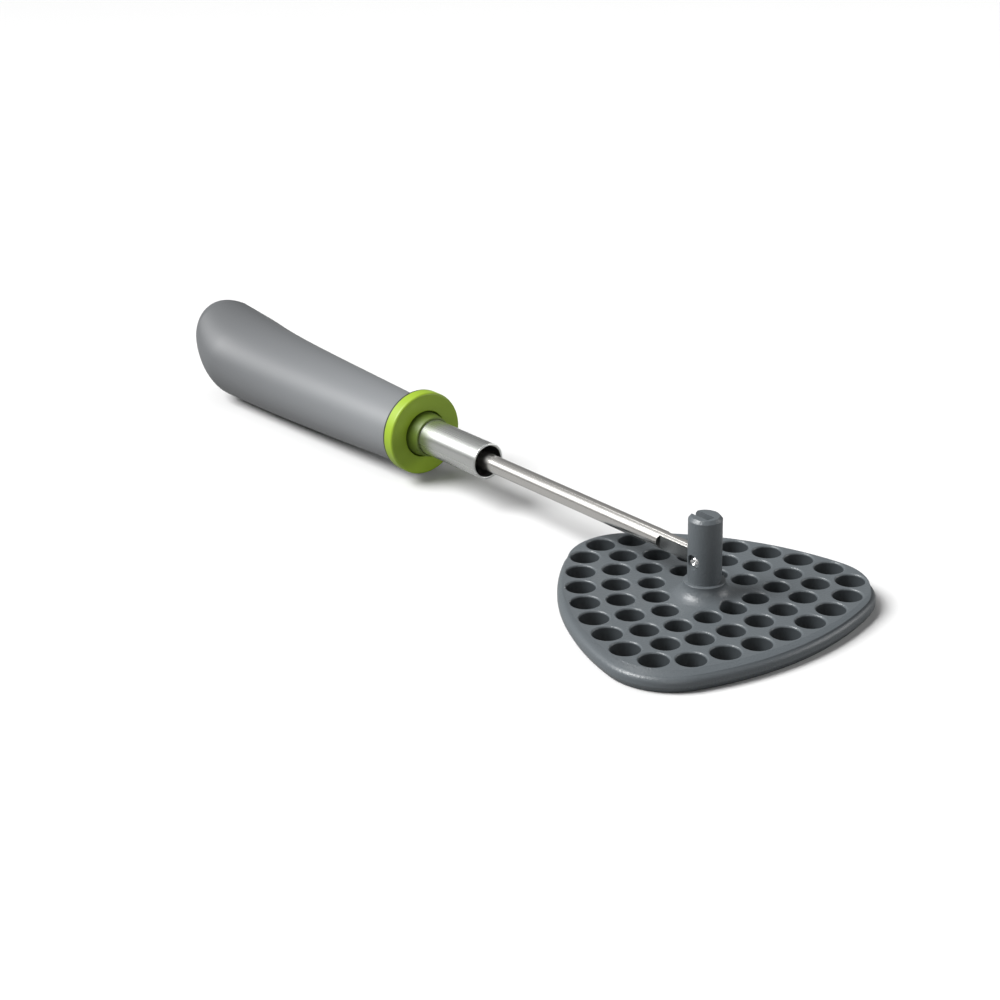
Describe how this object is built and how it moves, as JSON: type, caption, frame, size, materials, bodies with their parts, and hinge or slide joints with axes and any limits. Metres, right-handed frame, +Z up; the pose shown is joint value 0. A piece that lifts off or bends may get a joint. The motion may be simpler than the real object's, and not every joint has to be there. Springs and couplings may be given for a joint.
{
  "type": "potato masher",
  "caption": "Folding potato masher with a pierced domed head hinged on a steel stem, a sliding locking sleeve and a moulded grey handle with a green collar.",
  "frame": {"origin": "on the flat mashing face, under the middle of the hinge post; the masher lies on this face and on its handle", "axes": "+X from the hinge post along the stem towards the handle, +Y towards the rolled end of the hinge pin, +Z up out of the plate"},
  "size_m": [0.3242, 0.1004, 0.0341],
  "materials": {
    "head_plastic": "satin moulded plastic",
    "pin_steel": "polished",
    "stem_steel": "polished",
    "sleeve_steel": "polished",
    "hidden_steel": "plain turned",
    "bush_black": "matt",
    "bush_olive": "satin",
    "collar_green": "satin",
    "core_plastic": "matt",
    "grip_grey": "fine satin"
  },
  "bodies": {
    "handle": {"stem_rod": "stem_steel", "anchor_pin": "hidden_steel", "guide_bush": "bush_olive", "collar": "collar_green", "handle_core": "core_plastic", "grip_cover": "grip_grey"},
    "head": {"head_plate": "head_plastic", "hinge_post": "head_plastic", "pivot_pin": "pin_steel"},
    "sleeve": {"sleeve_tube": "sleeve_steel", "sleeve_stop_ring": "hidden_steel", "inner_bush": "bush_black"}
  },
  "joints": [
    {"name": "head_fold", "type": "hinge", "parent": "handle", "child": "head", "pos_m": [0, 0, 0.0192], "axis": [0, 1, 0], "range_deg": [0, 90.7]},
    {"name": "sleeve_slide", "type": "slide", "parent": "handle", "child": "sleeve", "axis": [-0.9999, 0, 0.0122], "range_m": [0, 0.0905]}
  ]
}
